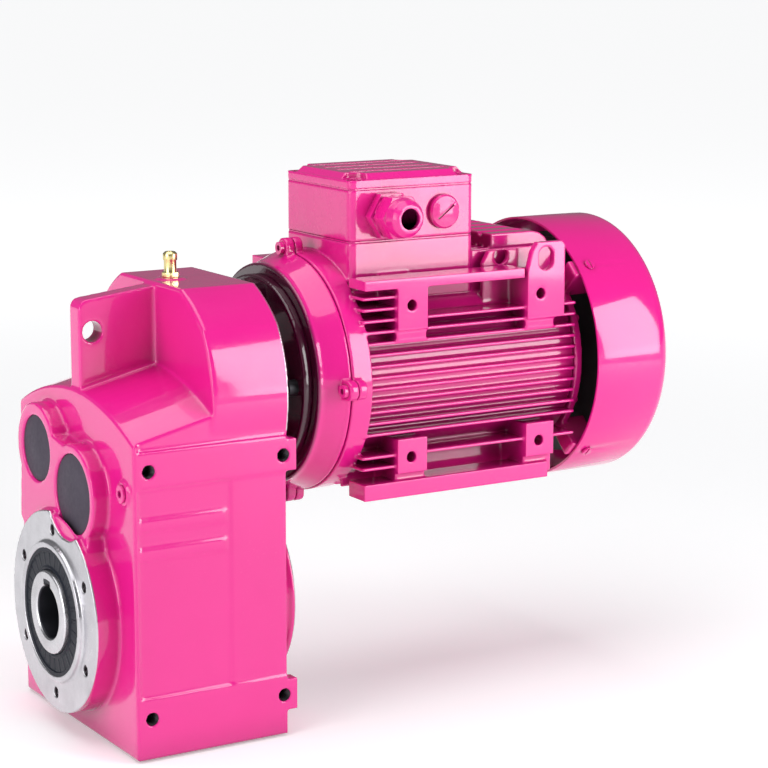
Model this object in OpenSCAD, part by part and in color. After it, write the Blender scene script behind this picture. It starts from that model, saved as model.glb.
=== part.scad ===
// Parallel-shaft gearmotor with a hollow output shaft, a foot-pad motor and straight-cut gears.
// Millimetres. +X runs from the output face towards the motor fan, +Z is up.
// The origin lies on the output axis, in the plane of the front output flange.

/* [Gearbox housing] */
// Half of the housing width
half_width = 104.6; // [104:0.1:106]
// Housing underside, measured from the output axis
bottom_z = -94; // [-95:0.5:-93]
// Plain front face of the housing
front_x = 20; // [19:0.5:21]
// Rear face of the housing
rear_x = 148; // [147.5:0.5:149]
// Wall thickness of the casting
wall = 7.6; // [7:0.1:8]
// Radius of the drum around the motor axis
drum_r = 105; // [104.6:0.1:106]
// Front face of the drum
drum_x = 86; // [85:0.5:87]

/* [Output] */
// Distance between the front and rear output flange faces
output_span = 170; // [170:0.5:171]
// Radius of the output flange
flange_r = 79; // [78:0.5:80]
// Bolt circle diameter of the output flange
flange_pcd = 130; // [129:0.5:131]
// Radius of the centring spigot
spigot_r = 55; // [54.5:0.5:55.5]
// Hollow shaft bore diameter
bore_d = 40; // [38:1:42]
// Hollow shaft outer diameter at the seals and bearings
hollow_d = 65; // [65:1:65]

/* [Gear train] */
// Module of the first stage
module_1 = 1.5; // [1.5:0.5:1.5]
// Module of the second stage
module_2 = 2; // [2:0.5:2]
// Module of the output stage
module_3 = 2.5; // [2.5:0.5:2.5]
// Teeth on the motor pinion
pinion_1_teeth = 17; // [16:1:17]
// Teeth on the first gear
gear_1_teeth = 69; // [68:1:69]
// Teeth on the pinion of the first shaft
pinion_2_teeth = 15; // [15:1:15]
// Teeth on the second gear
gear_2_teeth = 56; // [55:1:57]
// Teeth on the pinion of the second shaft
pinion_3_teeth = 15; // [15:1:15]
// Teeth on the output gear
gear_3_teeth = 65; // [64:1:65]
// Play between meshing teeth, measured along the pitch circle
backlash = 0.36; // [0.3:0.02:0.5]

/* [Motor] */
// Radius of the seam between drive-end shield and frame
shield_r = 95.6; // [95:0.1:96]
// Outer radius of the fan cowl
cowl_r = 110; // [109:0.5:111]
// Front rim of the fan cowl
cowl_x = 436; // [435:0.5:437]
// Rear face of the fan cowl
cowl_rear_x = 511; // [509:0.5:512]
// Distance of the foot pad faces from the motor axis
pad_y = 91; // [90:0.5:92]
// Pitch of the cooling fins
fin_pitch = 9; // [8.5:0.1:9.5]
// Thickness of one cooling fin
fin_t = 2.6; // [2:0.1:3]

/* [Terminal box] */
// Front wall of the terminal box
box_x0 = 230.5; // [230:0.5:231]
// Rear wall of the terminal box
box_x1 = 346; // [345:0.5:347]
// Near side wall of the terminal box
box_y0 = -59.5; // [-60:0.5:-59]
// Far side wall of the terminal box
box_y1 = 43; // [42:0.5:44]

/* [Hidden] */
$fn = 96;

// Shaft axes: output at (0, 0), then up through the stages to the motor.
centres_1 = module_1 * (pinion_1_teeth + gear_1_teeth) / 2;
centres_2 = module_2 * (pinion_2_teeth + gear_2_teeth) / 2;
centres_3 = module_3 * (pinion_3_teeth + gear_3_teeth) / 2;
second_y = -25;
first_y = 42;
second_z = sqrt(pow(centres_3, 2) - pow(second_y, 2));
first_z = second_z + sqrt(pow(centres_2, 2) - pow(first_y - second_y, 2));
motor_z = first_z + sqrt(pow(centres_1, 2) - pow(first_y, 2));
second_axis = [second_y, second_z];
first_axis = [first_y, first_z];
motor_axis = [0, motor_z];

// Stations of the parts along the shafts.
cap_x = 6;
mid_x = output_span / 2;
gear_3_x = 37;
gear_3_w = 34;
pinion_3_x = 34.5;
pinion_3_w = 39;
gear_2_x = 76;
gear_2_w = 24;
pinion_2_x = 74;
pinion_2_w = 28;
gear_1_x = 106;
gear_1_w = 18;
pinion_1_x = 104;
pinion_1_w = 22;
cover_x = 136;
adapter_x1 = 157;
shield_x = 185;
frame_x = 211;
frame_ring_x = 229;
frame_x1 = 430;
core_x0 = 262;
core_x1 = 382;

// Bearings as [bore radius, outer radius, width].
bearing_6013 = [32.5, 50, 18];
bearing_6305 = [12.5, 31, 17];
bearing_6304 = [10, 26, 15];
bearing_6206 = [15, 31, 16];
fit = 0.02;
seam = 0.3;

magenta = "#e8308c";
steel = "#b9bcc0";
dark_steel = "#77797d";
brass_tone = "#c9a94a";
cap_grey = "#55525c";
rubber_black = "#1d1f22";
copper_tone = "#b4693a";
aluminium_tone = "#c9cbce";

// ---------- shared shapes ----------

// Cylinder along X between two stations, around a [y, z] axis.
module xcyl(x0, x1, r, axis = [0, 0]) {
    translate([x0, axis[0], axis[1]]) rotate([0, 90, 0]) cylinder(h = x1 - x0, r = r);
}

// Cone along X from radius r0 to r1.
module xcone(x0, x1, r0, r1, axis = [0, 0]) {
    translate([x0, axis[0], axis[1]]) rotate([0, 90, 0]) cylinder(h = x1 - x0, r1 = r0, r2 = r1);
}

// Ring along X.
module xring(x0, x1, outer, inner, axis = [0, 0]) {
    difference() {
        xcyl(x0, x1, outer, axis);
        xcyl(x0 - 1, x1 + 1, inner, axis);
    }
}

// Cylinder along Y between two stations, at a [x, z] place.
module ycyl(y0, y1, r, at) {
    translate([at[0], y0, at[1]]) rotate([-90, 0, 0]) cylinder(h = y1 - y0, r = r);
}

// Outline drawn in the YZ plane and pulled along X.
module xprism(x0, x1) {
    translate([x0, 0, 0]) rotate([90, 0, 90]) linear_extrude(height = x1 - x0) children();
}

// Outline drawn in the XZ plane and pulled along Y.
module yprism(y0, y1) {
    translate([0, y1, 0]) rotate([90, 0, 0]) linear_extrude(height = y1 - y0) children();
}

// Upright block with round vertical corners.
module round_block(x0, x1, y0, y1, z0, z1, r) {
    translate([x0 + r, y0, z0]) cube([x1 - x0 - 2 * r, y1 - y0, z1 - z0]);
    translate([x0, y0 + r, z0]) cube([x1 - x0, y1 - y0 - 2 * r, z1 - z0]);
    for (x = [x0 + r, x1 - r], y = [y0 + r, y1 - r])
        translate([x, y, z0]) cylinder(h = z1 - z0, r = r);
}

// Repeats its children around an axis along X.
module around(axis, radius, angles) {
    for (a = angles)
        translate([0, axis[0] + radius * cos(a), axis[1] + radius * sin(a)]) children();
}

// Screw along X: the head ends at x = 0 and the shank runs towards direction d.
module cap_screw(shank_r, shank_l, head_r, head_l, d = 1) {
    mirror([d < 0 ? 1 : 0, 0, 0]) difference() {
        union() {
            xcyl(-head_l, 0, head_r);
            xcyl(-0.5, shank_l, shank_r);
        }
        translate([-head_l - 1, 0, 0]) rotate([0, 90, 0])
            cylinder(h = head_l * 0.6 + 1, r = head_r * 0.52, $fn = 6);
    }
}

// Involute angle in degrees at radius r, for base radius rb.
function involute(r, rb) = r <= rb ? 0 : sqrt(pow(r / rb, 2) - 1) * 180 / PI - acos(rb / r);

// Outline of a spur-cut gear; the first tooth is centred at 0 degrees.
function gear_outline(m, teeth, play) =
    let (rp = m * teeth / 2, rb = rp * cos(20), ra = rp + 0.95 * m, rf = rp - 1.25 * m,
        half = 90 / teeth - play / 4 / rp * 180 / PI + involute(rp, rb),
        flank = [for (i = [0:4]) let (r = max(rf, rb) + (ra - max(rf, rb)) * i / 4) r],
        root_half = min(180 / teeth - 0.35, half + 0.6))
    [for (t = [0:teeth - 1], s = [0:11]) let (
        up = s < 6,
        k = up ? s : 11 - s,
        r = k == 0 ? rf : flank[k - 1],
        w = k == 0 ? root_half : half - involute(flank[k - 1], rb),
        a = t * 360 / teeth + (up ? -w : w))
        [r * cos(a), r * sin(a)]];

// Toothed rim along X. phase is the angle of the first tooth.
module teeth(m, count, x0, width, axis, phase) {
    translate([x0, axis[0], axis[1]]) rotate([phase, 0, 0]) rotate([90, 0, 90])
        linear_extrude(height = width) polygon(gear_outline(m, count, backlash));
}

// Angle in the YZ plane from one axis to another.
function heading(a, b) = atan2(b[1] - a[1], b[0] - a[0]);

// Gear wheel with teeth, a thinner web and a bore.
module gear_wheel(m, count, x0, width, axis, phase, bore_r, hub_r) {
    rim_r = m * count / 2 - 5 * m;
    web = width * 0.3;
    difference() {
        teeth(m, count, x0, width, axis, phase);
        for (x = [x0 - 1, x0 + width - web])
            xring(x, x + web + 1, rim_r, hub_r, axis);
        xcyl(x0 - 1, x0 + width + 1, bore_r, axis);
    }
}

// Two inner rings of a pair of ball bearings at stations xs.
module inner_rings(b, xs, axis) {
    pitch = (b[0] + b[1]) / 2;
    ball = (b[1] - b[0]) * 0.29;
    for (x = xs) translate([x, axis[0], axis[1]]) rotate([0, 90, 0]) rotate_extrude()
        difference() {
            translate([b[0] + fit, 0]) square([(b[1] - b[0]) * 0.3, b[2]]);
            translate([pitch, b[2] / 2]) circle(r = ball + 0.08);
        }
}

// Outer rings of the same bearings, each with its caged balls, the first one at angle turn.
module outer_rings(b, xs, axis, balls, turn = 0) {
    pitch = (b[0] + b[1]) / 2;
    ball = (b[1] - b[0]) * 0.29;
    wide = (b[1] - b[0]) * 0.3;
    for (x = xs) {
        translate([x, axis[0], axis[1]]) rotate([0, 90, 0]) rotate_extrude() difference() {
            translate([b[1] - fit - wide, 0]) square([wide, b[2]]);
            translate([pitch, b[2] / 2]) circle(r = ball + 0.08);
        }
        around(axis, pitch, [for (i = [0:balls - 1]) turn + i * 360 / balls])
            translate([x + b[2] / 2, 0, 0]) sphere(r = ball, $fn = 32);
        xring(x + b[2] * 0.32, x + b[2] * 0.68, pitch + wide * 0.22, pitch - wide * 0.22, axis);
    }
}

// ---------- gearbox ----------

roof_rise = 13.2;
roof_r = 229;
roof_z = 172.5;
side_top = 141.6;
drum_top = 251.3;
shoulder_r = 123.6;
shoulder_z = 139.3;
lug_t = 18;
lug_x = 22.4;
lug_z = 242;
lug_hole = [33.5, 217];
lug_hole_r = 8.25;
side_hole_r = 5.1;
side_hole_depth = 17;
side_hole_x = [32.4, 145.1];
side_hole_z = [-62.5, 126.7];
plug_at = [-89, 109];
breather_x = 104;
ledge = 9;
opening_r = 84.8;
drum_open_r = 86;
bridge_y = 74;
skin = 1.8;
side_wall = 8;

// Solid under the sloping, crowned roof. Its sides stand in by t.
module roofed_block(x0, x1, t, down = 0) {
    intersection() {
        translate([x0, t - half_width, bottom_z + down])
            cube([x1 - x0, 2 * (half_width - t), 300]);
        union() {
            translate([x0 - 1, -half_width - 1, bottom_z - 1])
                cube([x1 - x0 + 2, 2 * half_width + 2, side_top - bottom_z + 1 - down]);
            translate([front_x, 0, roof_z - roof_r / cos(roof_rise) - down])
                rotate([0, 90 - roof_rise, 0]) translate([0, 0, -70]) cylinder(h = 300, r = roof_r);
        }
    }
}

// Drum around the motor axis with a nearly flat top.
module drum(x0, x1, t) {
    intersection() {
        xcyl(x0, x1, drum_r - t, motor_axis);
        xcyl(x0 - 1, x1 + 1, shoulder_r - t, [0, shoulder_z]);
        translate([x0 - 1, -150, 0]) cube([x1 - x0 + 2, 300, drum_top - t]);
    }
}

// Outline of the rear opening, grown by g.
module opening_outline(g) {
    intersection() {
        union() {
            circle(r = opening_r + g);
            translate([0, motor_z]) circle(r = drum_open_r + g);
            translate([-bridge_y - g, 0]) square([2 * (bridge_y + g), motor_z]);
        }
        translate([-150, bottom_z + 3.4]) square([300, drum_top - 16.4 + g - bottom_z]);
    }
}

module torque_lug() {
    nose = 8;
    slope = 6.6;
    yprism(-lug_t / 2, lug_t / 2) difference() {
        polygon(concat(
            [[lug_x, 160], [lug_x, lug_z - nose]],
            [for (a = [170:-10:90 + slope])
                [lug_x + nose + nose * cos(a), lug_z - nose + nose * sin(a)]],
            [[lug_x + nose, lug_z], [drum_x + 1, lug_z + (drum_x + 1 - lug_x - nose) * tan(slope)],
                [drum_x + 1, 160]]));
        translate(lug_hole) circle(r = lug_hole_r);
    }
}

// Raised front bosses: flange boss, two shaft bosses and the skin between them.
module front_bosses() {
    xcyl(3, front_x + 1, flange_r - 2.5);
    difference() {
        xcyl(0, front_x + 1, flange_r);
        xcyl(-1, cap_x, 35, second_axis);
    }
    xcyl(-3.5, 1, spigot_r);
    xcyl(cap_x, front_x + 1, 38.5, second_axis);
    xcyl(cap_x, front_x + 1, 36, first_axis);
    xprism(cap_x, front_x + 1) polygon([[-55, 50], [-50, 78], second_axis, [-14, 132], [8, 136],
        first_axis, [73, 100], [76, 60], [60, 45], [0, 0]]);
}

// Mounting strips, rear ears, rear panel and cooling ribs of one side wall.
module side_details(s) {
    ear = 8.4;
    inner = 12;
    y_out = s > 0 ? half_width - inner : -half_width;
    for (z = [[114, side_top - 0.5], [bottom_z, -47]])
        translate([front_x + 2, y_out, z[0]]) cube([rear_x - front_x - 2, inner, z[1] - z[0]]);
    for (z = side_hole_z)
        translate([rear_x - 14, y_out, z - 12.3]) cube([14 + ear, inner, 24.6]);
    translate([101, y_out + s * -0.9, -50]) cube([rear_x - 101.3, inner, 170]);
    for (z = [64, 86])
        translate([front_x + 2.6, y_out + s * -0.7, z - 4]) cube([74, inner, 8]);
}

module housing_outer() {
    roofed_block(front_x, front_x + 3, 0);
    roofed_block(front_x + 2, rear_x, skin);
    drum(drum_x, rear_x + 2, 0);
    for (s = [-1, 1]) side_details(s);
    torque_lug();
    front_bosses();
    xcyl(front_x - 2.4, front_x + 1, 9.5, plug_at);
    for (x = [36, 60, 99, 136], s = [-1, 1])
        translate([x, s * (half_width - 16), bottom_z - 1.6]) cylinder(h = 3, r = 9);
    translate([breather_x, 0, drum_top - 3]) cylinder(h = 4.4, r = 11);
}

module housing_cavity() {
    difference() {
        union() {
            roofed_block(front_x + wall, rear_x - 24, side_wall, wall);
            drum(drum_x + wall, rear_x - 24, wall);
            xprism(rear_x - 25, cover_x + 1) opening_outline(0);
        }
        // Bearing hubs left standing inside the front wall.
        xcyl(front_x, 31, 62);
        xcyl(front_x, 33.5, 36, second_axis);
        xcyl(front_x, 32.5, 32, first_axis);
        // Pillars behind the tapped side holes, the level plug and the lug root.
        for (x = [side_hole_x[0]], z = side_hole_z, s = [-1, 1])
            translate([x, s * half_width, z]) rotate([90, 0, 0]) cylinder(h = 44, r = 11, center = true);
    }
    xprism(cover_x, rear_x + 3) opening_outline(ledge);
}

module gear_housing() {
    color(magenta) difference() {
        union() {
            difference() {
                housing_outer();
                housing_cavity();
            }
        }
        // Output bearing and seal bore with its shoulder.
        xcyl(-4, 27, bearing_6013[1] + fit);
        xcyl(20, 40, 44.5);
        // Bearing bores of the two intermediate shafts.
        xcyl(cap_x - 1, 32, bearing_6305[1] + fit, second_axis);
        xcyl(30, 40, 27, second_axis);
        xcyl(cap_x - 1, 30, bearing_6304[1] + fit, first_axis);
        xcyl(29, 40, 22, first_axis);
        // Six tapped holes of the output flange.
        around([0, 0], flange_pcd / 2, [for (i = [0:5]) 90 + 60 * i])
            xcyl(-1, 19, 4.25);
        // Tapped side holes.
        for (x = side_hole_x, z = side_hole_z) {
            ycyl(-half_width - 1, -half_width + side_hole_depth, side_hole_r, [x, z]);
            ycyl(half_width - side_hole_depth, half_width + 1, side_hole_r, [x, z]);
        }
        // Plug and breather threads.
        xcyl(front_x - 4, front_x + wall + 2, 5, plug_at);
        translate([breather_x, 0, drum_top - 20]) cylinder(h = 30, r = 5);
        translate([70, 0, bottom_z - 3]) cylinder(h = 16, r = 8);
        // Threads of the cover screws.
        cover_screw_places() xcyl(cover_x - 11, cover_x + 1, 2.5);
    }
}

module cover_screw_places() {
    mid = ledge / 2;
    around([0, 0], opening_r + mid, [-148, -122, -58, -32, 0, 180]) children();
    around(motor_axis, drum_open_r + mid, [5, 38, 142, 175]) children();
    for (y = [-44, 44]) translate([0, y, drum_top - 8.5]) children();
}

// Screws that hold the motor adapter to the rear cover, clear of the bearing bores.
adapter_screw_r = 68;
adapter_angles = [-15, 45, 135, 195];

module rear_cover() {
    color(magenta) difference() {
        union() {
            xprism(cover_x, rear_x) intersection() {
                opening_outline(ledge - seam);
                translate([-150, bottom_z + 3.4 + seam]) square([300, 500]);
            }
            xcyl(rear_x - 1, output_span - 3, flange_r - 1.5);
            xcyl(output_span - 4, output_span, flange_r);
            xcyl(output_span - 1, output_span + 3.5, spigot_r);
            xcyl(140, rear_x, 62);
            xcyl(128.6, rear_x, 36, second_axis);
            xcyl(129.6, rear_x, 31.5, first_axis);
        }
        xcyl(mid_x + 58, output_span + 4, bearing_6013[1] + fit);
        xcyl(125, 150, 44.5);
        xcyl(125, 146, bearing_6305[1] + fit, second_axis);
        xcyl(125, 145, bearing_6304[1] + fit, first_axis);
        xcyl(125, 150, 23.5, motor_axis);
        around([0, 0], flange_pcd / 2, [for (i = [0:5]) 90 + 60 * i])
            xcyl(output_span - 19, output_span + 1, 4.25);
        cover_screw_places() xcyl(cover_x - 1, rear_x + 1, 3.3);
        around(motor_axis, adapter_screw_r, adapter_angles) xcyl(cover_x - 1, rear_x + 1, 3.4);
    }
}

module cover_screws() {
    color(dark_steel) cover_screw_places() translate([rear_x, 0, 0])
        cap_screw(2.48, 21, 4.2, 5, -1);
}

// Shallow press-in cap that closes a bearing bore.
module bore_cap(r, axis) {
    color(cap_grey) difference() {
        union() {
            xcyl(7.6, 14.4, r - 0.4, axis);
            xcyl(8.6, 13.6, r, axis);
        }
        xcyl(10.4, 15, r - 3, axis);
    }
}

module upper_shaft_cap() bore_cap(bearing_6304[1], first_axis);

module lower_shaft_cap() bore_cap(bearing_6305[1], second_axis);

keyway_w = 12;
keyway_top = 23.3;

module output_hollow_shaft() {
    hub_x = 5.5;
    r = hollow_d / 2;
    color(steel) difference() {
        union() {
            xcone(-hub_x, 1 - hub_x, r - 1, r);
            xcyl(1 - hub_x, output_span + hub_x - 1, r);
            xcone(output_span + hub_x - 1, output_span + hub_x, r, r - 1);
            xcyl(28, gear_3_x - 0.2, 39);
            xcyl(30, gear_3_x + gear_3_w, 34);
        }
        xcyl(-10, output_span + 10, bore_d / 2);
        xcone(-hub_x - 0.1, 2 - hub_x, bore_d / 2 + 2, bore_d / 2);
        xcone(output_span + hub_x - 2, output_span + hub_x + 0.1, bore_d / 2, bore_d / 2 + 2);
        translate([-10, -keyway_w / 2, 0]) cube([output_span + 20, keyway_w, keyway_top]);
        output_key_slot(0.02);
    }
}

// Key between hollow shaft and output gear, on the -Y side.
module output_key_slot(g) {
    translate([gear_3_x + 2 - g, -38 - g, -5 - g]) cube([gear_3_w - 4 + 2 * g, 9 + g, 10 + 2 * g]);
}

module output_gear_key() {
    color(dark_steel) translate([gear_3_x + 2, -37.9, -5]) cube([gear_3_w - 4, 8.9, 10]);
}

phase_3 = heading([0, 0], second_axis);

module output_gear() {
    color(steel) difference() {
        gear_wheel(module_3, gear_3_teeth, gear_3_x, gear_3_w, [0, 0], phase_3, 34 + fit, 47);
        translate([gear_3_x - 1, -38, -5.02]) cube([gear_3_w + 2, 10, 10.04]);
    }
}

module output_spacer() {
    color(dark_steel) xring(gear_3_x + gear_3_w, mid_x + 58, 38, hollow_d / 2 + fit);
}

module output_bearing_inner_rings() {
    color(steel) inner_rings(bearing_6013, [mid_x - 76, mid_x + 58], [0, 0]);
}

module output_bearing_outer_rings() {
    color(steel) outer_rings(bearing_6013, [mid_x - 76, mid_x + 58], [0, 0], 13);
}

// Radial lip seal between an outer bore and a shaft.
module lip_seal(x0, width, outer, inner, axis, lip_gap) {
    color(rubber_black) translate([x0, axis[0], axis[1]]) rotate([0, 90, 0]) rotate_extrude()
        polygon([[outer, 0], [outer, width], [outer - 2.5, width], [outer - 2.5, 2.6],
            [inner + 3.2, 2.6], [inner + 3.2, width * 0.7], [inner + lip_gap, width * 0.55],
            [inner + 1.2, width * 0.35], [inner + lip_gap, 1.4], [inner + 1.0, 0.4],
            [inner + 2.2, 0], [inner + 4, 0.9], [outer - 3.4, 0.9], [outer - 2.6, 0]]);
}

module front_output_seal() lip_seal(-2.7, 10, 50, hollow_d / 2, [0, 0], 0.1);

module rear_output_seal() {
    translate([output_span, 0, 0]) mirror([1, 0, 0])
        lip_seal(-2.7, 10, 50, hollow_d / 2, [0, 0], 0.1);
}

module second_shaft() {
    color(steel) difference() {
        union() {
            xcyl(13.5, 32.5, bearing_6305[0], second_axis);
            xcyl(32.3, gear_2_x, 14.6, second_axis);
            teeth(module_3, pinion_3_teeth, pinion_3_x, pinion_3_w, second_axis,
                phase_3 + 180 + 180 / pinion_3_teeth);
            xcyl(gear_2_x - 0.1, 128.6, 14, second_axis);
            xcyl(128, 145.6, bearing_6305[0], second_axis);
        }
        second_key_slot(0.02);
    }
}

module second_key_slot(g) {
    translate([gear_2_x + 2 - g, second_y - 4 - g, second_z + 10 - g])
        cube([gear_2_w - 4 + 2 * g, 8 + 2 * g, 8]);
}

module second_gear_key() {
    color(dark_steel) translate([gear_2_x + 2, second_y - 4, second_z + 10])
        cube([gear_2_w - 4, 8, 7]);
}

phase_2 = heading(second_axis, first_axis);

module second_gear() {
    color(steel) difference() {
        gear_wheel(module_2, gear_2_teeth, gear_2_x, gear_2_w, second_axis, phase_2, 14 + fit, 24);
        translate([gear_2_x - 1, second_y - 4.02, second_z + 5]) cube([gear_2_w + 2, 8.04, 12.1]);
    }
}

module second_bearing_inner_rings() {
    color(steel) inner_rings(bearing_6305, [15, 129], second_axis);
}

module second_bearing_outer_rings() {
    color(steel) outer_rings(bearing_6305, [15, 129], second_axis, 7);
}

module first_shaft() {
    color(steel) difference() {
        union() {
            xcyl(13.5, 30.5, bearing_6304[0], first_axis);
            xcyl(30.3, gear_1_x, 12.2, first_axis);
            teeth(module_2, pinion_2_teeth, pinion_2_x, pinion_2_w, first_axis,
                phase_2 + 180 + 180 / pinion_2_teeth);
            xcyl(gear_1_x - 0.1, 129.6, 11, first_axis);
            xcyl(129, 144.6, bearing_6304[0], first_axis);
        }
        first_key_slot(0.02);
    }
}

module first_key_slot(g) {
    translate([gear_1_x + 2 - g, first_y - 3 - g, first_z + 7.5 - g])
        cube([gear_1_w - 4 + 2 * g, 6 + 2 * g, 7]);
}

module first_gear_key() {
    color(dark_steel) translate([gear_1_x + 2, first_y - 3, first_z + 7.5])
        cube([gear_1_w - 4, 6, 6]);
}

phase_1 = heading(first_axis, motor_axis);

module first_gear() {
    color(steel) difference() {
        gear_wheel(module_1, gear_1_teeth, gear_1_x, gear_1_w, first_axis, phase_1, 11 + fit, 20);
        translate([gear_1_x - 1, first_y - 3.02, first_z + 4]) cube([gear_1_w + 2, 6.04, 9.6]);
    }
}

module first_bearing_inner_rings() {
    color(steel) inner_rings(bearing_6304, [15, 130], first_axis);
}

module first_bearing_outer_rings() {
    color(steel) outer_rings(bearing_6304, [15, 130], first_axis, 7);
}

module motor_pinion() {
    color(steel) difference() {
        teeth(module_1, pinion_1_teeth, pinion_1_x, pinion_1_w, motor_axis,
            phase_1 + 180 + 180 / pinion_1_teeth);
        xcyl(pinion_1_x - 1, pinion_1_x + pinion_1_w + 1, 7 + fit, motor_axis);
    }
}

// Small brass vent valve: threaded stem, hexagon, slim body and rounded cap.
module breather_plug() {
    z = drum_top + 1.4;
    color(brass_tone) difference() {
        translate([breather_x, 0, 0]) union() {
            translate([0, 0, z - 9]) cylinder(h = 9.5, r = 4.98);
            translate([0, 0, z]) cylinder(h = 4, r = 7.2, $fn = 6);
            translate([0, 0, z + 3.5]) cylinder(h = 10.5, r = 4.9);
            translate([0, 0, z + 13.5]) cylinder(h = 5, r = 5.6);
            translate([0, 0, z + 18.4]) cylinder(h = 1.6, r1 = 5.6, r2 = 4);
        }
        translate([breather_x, 0, z + 17]) cylinder(h = 4, r = 1.6);
    }
}

module oil_level_plug() {
    color(magenta) difference() {
        union() {
            xcyl(front_x - 4.6, front_x - 2.4, 7, plug_at);
            xcyl(front_x - 3, front_x + 6, 4.98, plug_at);
        }
        translate([front_x - 5, plug_at[0], plug_at[1]]) rotate([0, 90, 0])
            cylinder(h = 5, r = 2.9, $fn = 6);
    }
}

module oil_drain_plug() {
    color(magenta) difference() {
        translate([70, 0, bottom_z - 0.8]) cylinder(h = 9, r = 7.98);
        translate([70, 0, bottom_z - 1]) cylinder(h = 6, r = 4.6, $fn = 6);
    }
}

module motor_adapter() {
    color(magenta) difference() {
        union() {
            xcyl(rear_x, adapter_x1, 75.5, motor_axis);
            xcone(adapter_x1 - 0.1, 172, 56, 50, motor_axis);
            xcyl(171, 178, 50, motor_axis);
            xcyl(177, shield_x, 80, motor_axis);
        }
        xcyl(rear_x - 1, shield_x + 1, 23.5, motor_axis);
        xcyl(174, shield_x + 1, 38, motor_axis);
        around(motor_axis, adapter_screw_r, adapter_angles) xcyl(rear_x - 1, adapter_x1 + 1, 4.3);
        around(motor_axis, 66, [0, 90, 180, 270]) xcyl(170, shield_x + 1, 4.3);
    }
}

module adapter_screws() {
    color(dark_steel) around(motor_axis, adapter_screw_r, adapter_angles)
        translate([adapter_x1, 0, 0]) cap_screw(3.38, 19, 6.5, 8, -1);
}

module motor_flange_screws() {
    color(dark_steel) around(motor_axis, 66, [0, 90, 180, 270])
        translate([177, 0, 0]) cap_screw(3.38, 17, 6.5, 8);
}

module input_seal() lip_seal(160, 10, 23.5, 14, motor_axis, 0.1);

// ---------- motor ----------

ear_r = 8;
ear_pcd_r = 99.6;
ear_angles = [0, 90, 180, 270];

module ears(x0, x1) {
    around(motor_axis, ear_pcd_r, ear_angles) xcyl(x0, x1, ear_r);
    for (a = ear_angles) translate([x0, 0, motor_z]) rotate([a, 0, 0])
        translate([0, 80, -ear_r]) cube([x1 - x0, ear_pcd_r - 80, 2 * ear_r]);
}

module drive_end_shield() {
    color(magenta) difference() {
        union() {
            xcyl(shield_x, 191, 88.5, motor_axis);
            xcone(190.9, frame_x - 3, 88.5, shield_r - 0.6, motor_axis);
            xcyl(frame_x - 3.1, frame_x, shield_r, motor_axis);
            ears(203, frame_x);
        }
        difference() {
            xcyl(shield_x + 8, frame_x + 1, 82, motor_axis);
            xcyl(shield_x, frame_x + 2, 39, motor_axis);
        }
        xcyl(195, frame_x + 3, bearing_6206[1] + fit, motor_axis);
        xcyl(shield_x - 1, 200, 22, motor_axis);
        around(motor_axis, 66, [0, 90, 180, 270]) xcyl(shield_x - 1, 195, 3.4);
        around(motor_axis, ear_pcd_r, ear_angles) xcyl(200, frame_x + 1, 3.3);
    }
}

core_r = 77.5;
shell_r = 83;
rail_z0 = -92;
rail_z1 = 82;
pads_x = [[255.5, 283], [378, 405.5]];
eye_x = 378;

// Cooling fins on both flanks, top and bottom of the frame.
module frame_fins() {
    fin_length = frame_x1 - frame_ring_x + 2;
    // Between the foot pads the shell stays plain above, and carries one low rib below.
    for (i = concat([-6.5], [for (k = [-4.5:1:5.5]) k]))
        translate([frame_ring_x - 4, -pad_y + 3, motor_z + i * fin_pitch - fin_t / 2])
            cube([fin_length, 2 * pad_y - 6, fin_t]);
    // Short fins between the front ring and the first pads.
    for (i = [-7.5, 6.5, 7.5])
        translate([frame_ring_x - 4, -pad_y + 3, motor_z + i * fin_pitch - fin_t / 2])
            cube([32, 2 * pad_y - 6, fin_t]);
    for (i = [-6:1:6]) {
        translate([frame_ring_x - 4, i * fin_pitch - fin_t / 2, motor_z + rail_z0 + 5])
            cube([fin_length, fin_t, 80]);
        translate([box_x1 - 4, i * fin_pitch - fin_t / 2, motor_z])
            cube([frame_x1 - box_x1 + 2, fin_t, 94]);
    }
}

// Flat plate that rises from the rear foot pad, with the lifting eye near its top.
module lifting_eye(y0, y1) {
    yprism(y0, y1) difference() {
        polygon([[eye_x, motor_z + 40], [eye_x, motor_z + 80], [eye_x + 4, motor_z + 95],
            [eye_x + 9, motor_z + 102], [eye_x + 33, motor_z + 102], [eye_x + 36, motor_z + 99],
            [eye_x + 36, motor_z + 40]]);
        for (z = [86.5, 90.5]) translate([eye_x + 17.5, motor_z + z]) circle(r = 7.5);
    }
}

// Low web between the corner rail and the lifting eye, with a round notch in its top.
module notched_web(y0, y1) {
    yprism(y0, y1) difference() {
        polygon([[352, motor_z + 50], [352, motor_z + 84], [358, motor_z + 94],
            [386, motor_z + 94], [386, motor_z + 50]]);
        translate([370, motor_z + 89]) circle(r = 6.7);
    }
}

// Raised pad on top of the frame, rounded off towards the fan.
module top_pad() {
    yprism(-47, 47) polygon([[371, motor_z + 70], [371, motor_z + 105], [412, motor_z + 105],
        [419, motor_z + 103.5], [425, motor_z + 99.5], [428.5, motor_z + 94], [428.5, motor_z + 70]]);
}

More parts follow.
